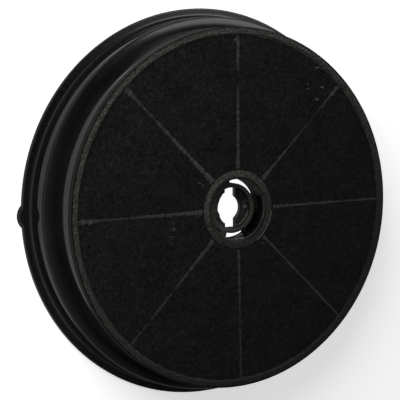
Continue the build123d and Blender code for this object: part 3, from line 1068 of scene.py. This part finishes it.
def loose_fibres(picker):
    """Fine bent fibres lying on the fleece."""
    bm = bmesh.new()
    pieces = 4
    for _ in range(FIBRE_COUNT):
        radius = math.sqrt(picker.uniform(22.5 ** 2, 88.0 ** 2))
        angle = picker.uniform(0, 2 * math.pi)
        heading = picker.uniform(0, 2 * math.pi)
        bend = picker.uniform(-0.5, 0.5)
        length = picker.uniform(0.8, 3.2)
        width = picker.uniform(0.035, 0.075)
        if radius > FIBRE_RADII[1] - length or radius < FIBRE_RADII[0] + length:
            continue
        x = radius * math.cos(angle)
        y = radius * math.sin(angle)
        rows = []
        for k in range(pieces + 1):
            lift = 0.02 + 0.10 * math.sin(math.pi * k / pieces)
            side = Vector((-math.sin(heading), math.cos(heading), 0)) * width / 2
            centre = Vector((x, y, fleece_height(math.hypot(x, y)) + lift))
            rows.append([bm.verts.new((centre - side) * MM),
                         bm.verts.new((centre + Vector((0, 0, width))) * MM),
                         bm.verts.new((centre + side) * MM)])
            x += math.cos(heading) * length / pieces
            y += math.sin(heading) * length / pieces
            heading += bend * 0.5
        for first, second in zip(rows, rows[1:]):
            for a, b in ((0, 1), (1, 2)):
                bm.faces.new((first[a], first[b], second[b], second[a]))
    bmesh.ops.recalc_face_normals(bm, faces=bm.faces[:])
    return bm


def fibres():
    """Loose fibres, pale bits and strokes of laid nap with painted sheen on the front fleece."""
    lint = smooth_within(made(loose_fibres(random.Random(7)), "loose_fibres", loose_fibre()), 90)
    picker = random.Random(11)
    bits = smooth_within(made(pale_bits(picker), "flecks", pale_fleck("pale_fleck", 0.1)), 80)
    # Painted sheen: the strokes are paler than the fleece.
    strokes = made(rubbed_and_sheen_strokes(picker), "rubbed_and_sheen_strokes", pale_fleck("rubbed_and_sheen_fleece", 0.03))
    return joined("front_fleece_fibres", [lint, bits, strokes])


# Stage

def surround_level(tree):
    """Brightness to a mirrored ray: the brightest of the walls, the panel and the haze."""
    direction = tree.nodes.new("ShaderNodeTexCoord").outputs["Generated"]
    wall = shaded(tree, parts_of(tree, direction)["Z"], WALL_STOPS)
    heading = figured_vector(tree, "NORMALIZE", flattened(tree, direction))
    leftward = figured_vector(tree, "DOT_PRODUCT", heading, WALL_SIDE)
    wall_level = figured(tree, "MULTIPLY", wall, spread(tree, leftward, 0.3, 1.0, 0.1, 0.7, smooth=True))
    panel = shaded(tree, figured_vector(tree, "DOT_PRODUCT", direction, PANEL_DIRECTION), PANEL_STOPS)
    panel_level = figured(tree, "MULTIPLY", panel, PANEL_LEVEL)
    toward_haze = figured_vector(tree, "DOT_PRODUCT", direction, HAZE_DIRECTION)
    haze = spread(tree, toward_haze, 0.02, 0.28, 0.35, 0.85, smooth=True)
    return figured(tree, "MAXIMUM", wall_level, figured(tree, "MAXIMUM", panel_level, haze))


def background(tree, level, shade=1.0):
    """A plain surround of this brightness and shade."""
    node = tree.nodes.new("ShaderNodeBackground")
    node.inputs["Color"].default_value = (shade, shade, shade, 1)
    fed(tree, node.inputs["Strength"], level)
    return node.outputs["Background"]


def white_surround():
    """White surroundings, in which the glossy walls mirror pale walls, a soft panel and a haze."""
    scene = bpy.context.scene
    scene.view_settings.view_transform = "Standard"
    world = bpy.data.worlds.new("surround")
    scene.world = world
    world.use_nodes = True
    tree = world.node_tree
    tree.nodes.clear()
    path = tree.nodes.new("ShaderNodeLightPath")
    mirrored = background(tree, surround_level(tree), MIRRORED_SHADE)
    lighting = mixed_shader(tree, path.outputs["Is Glossy Ray"], background(tree, PLAIN_LEVEL), mirrored)
    whole = mixed_shader(tree, path.outputs["Is Camera Ray"], lighting, background(tree, 1.0))
    tree.links.new(whole, tree.nodes.new("ShaderNodeOutputWorld").inputs["Surface"])


def floor_level(tree, place, distance):
    """Brightness of the floor to a mirrored ray, by distance from the axis and by side."""
    glow = shaded(tree, distance, FLOOR_STOPS)
    heading = figured_vector(tree, "NORMALIZE", place)
    leftward = figured_vector(tree, "DOT_PRODUCT", heading, FLOOR_LIT_SIDE)
    side = spread(tree, leftward, 0.25, 1.0, 0.1, 0.5, smooth=True)
    # Painted shadow: near the axis a mirrored ray sees the floor darker, except toward the lit side.
    open_floor = figured(tree, "MAXIMUM", spread(tree, distance, 0.0, 1.1, 0.118, 0.138), side)
    # Painted light: a brighter patch toward the upper side.
    upper = figured_vector(tree, "DOT_PRODUCT", heading, FLOOR_PATCH_SIDE)
    patch = spread(tree, upper, 1.0, 1.8, 0.95, 1.0, smooth=True)
    return figured(tree, "MULTIPLY", glow, figured(tree, "MULTIPLY", open_floor, patch))


def glowing(tree, level):
    """An emission of this brightness."""
    node = tree.nodes.new("ShaderNodeEmission")
    fed(tree, node.inputs["Strength"], level)
    return node.outputs["Emission"]


def floor_material():
    """Pale floor: a camera ray sees it near white, and a mirrored ray sees it softly grey."""
    material = bpy.data.materials.new("pale_floor")
    material.use_nodes = True
    tree = material.node_tree
    tree.nodes.clear()
    path = tree.nodes.new("ShaderNodeLightPath")
    place = object_place(tree)
    distance = figured_vector(tree, "LENGTH", place)
    paper = tree.nodes.new("ShaderNodeBsdfDiffuse")
    paper.inputs["Color"].default_value = (FLOOR_SHADE, FLOOR_SHADE, FLOOR_SHADE, 1)
    lit_paper = tree.nodes.new("ShaderNodeAddShader")
    tree.links.new(paper.outputs["BSDF"], lit_paper.inputs[0])
    # Painted light: under the filter the floor glows at full strength to a camera ray, so it stays white
    # where the filter shades it.
    tree.links.new(glowing(tree, spread(tree, distance, 1.0, 0.55, 0.094, 0.097)), lit_paper.inputs[1])
    seen = mixed_shader(tree, path.outputs["Is Camera Ray"], paper.outputs["BSDF"],
                        lit_paper.outputs["Shader"])
    mirrored = glowing(tree, floor_level(tree, place, distance))
    whole = mixed_shader(tree, path.outputs["Is Glossy Ray"], seen, mirrored)
    tree.links.new(whole, tree.nodes.new("ShaderNodeOutputMaterial").inputs["Surface"])
    return material


def floor():
    """Round pale floor under the filter."""
    bm = bmesh.new()
    bmesh.ops.create_circle(bm, cap_ends=True, segments=96, radius=FLOOR_RADIUS)
    bmesh.ops.translate(bm, vec=(0, 0, -FLOOR_DROP), verts=bm.verts[:])
    piece = made(bm, "pale_floor", floor_material())
    return piece


def key_lamp():
    """A square soft lamp at the upper left of the view, which points at the filter."""
    data = bpy.data.lights.new("key_lamp", "AREA")
    data.shape = "SQUARE"
    data.size = KEY_LAMP_SIZE
    data.energy = KEY_LAMP_POWER
    lamp = bpy.data.objects.new("key_lamp", data)
    bpy.context.scene.collection.objects.link(lamp)
    lamp.location = KEY_LAMP_PLACE
    lamp.rotation_mode = "QUATERNION"
    lamp.rotation_quaternion = (-Vector(KEY_LAMP_PLACE)).to_track_quat("-Z", "Y")
    lamp.visible_glossy = False


def camera():
    """The camera looks down on the fleece from beyond the left side."""
    data = bpy.data.cameras.new("camera")
    data.lens = CAMERA_LENS
    data.sensor_width = CAMERA_SENSOR
    data.clip_start = 0.01
    piece = bpy.data.objects.new("camera", data)
    bpy.context.scene.collection.objects.link(piece)
    side = math.radians(CAMERA_SIDE)
    rise = math.radians(CAMERA_RISE)
    turn = Matrix.Rotation(math.radians(CAMERA_TURN), 3, "Z")
    back = turn @ Vector((-math.sin(side) * math.cos(rise), math.sin(rise), math.cos(side) * math.cos(rise)))
    right = turn @ Vector((math.cos(side), 0.0, math.sin(side)))
    up = back.cross(right)
    matrix = Matrix((right, up, back)).transposed().to_4x4()
    matrix.translation = Vector(CAMERA_PLACE)
    piece.matrix_world = matrix
    bpy.context.scene.camera = piece


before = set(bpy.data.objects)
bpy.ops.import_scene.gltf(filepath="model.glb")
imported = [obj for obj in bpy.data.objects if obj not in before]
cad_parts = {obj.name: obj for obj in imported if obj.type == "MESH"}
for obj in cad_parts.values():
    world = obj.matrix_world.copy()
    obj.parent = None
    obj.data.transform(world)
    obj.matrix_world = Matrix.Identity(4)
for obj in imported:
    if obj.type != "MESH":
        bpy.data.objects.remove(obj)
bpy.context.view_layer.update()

white_surround()
floor()
key_lamp()
camera()

gloss = glossy_moulding()
dull = dull_moulding()

moulding = housing_moulding(gloss, dull)
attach(moulding, "root")
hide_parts("housing")

cloth = front_fleece(black_fleece("black_fleece"))
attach(cloth, "root")
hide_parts("front_fleece")

lint = fibres()
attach(lint, "root")

rear_cloth = rear_fleece(black_fleece("rear_black_fleece"))
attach(rear_cloth, "root")
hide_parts("rear_fleece")

bars = rear_grid(dull)
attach(bars, "root")
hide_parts("rear_grid")

granules = carbon_granules()
for number in range(1, PARTITION_COUNT + 1):
    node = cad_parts["carbon_fill_" + str(number)]
    node.data.materials.clear()
    node.data.materials.append(granules)
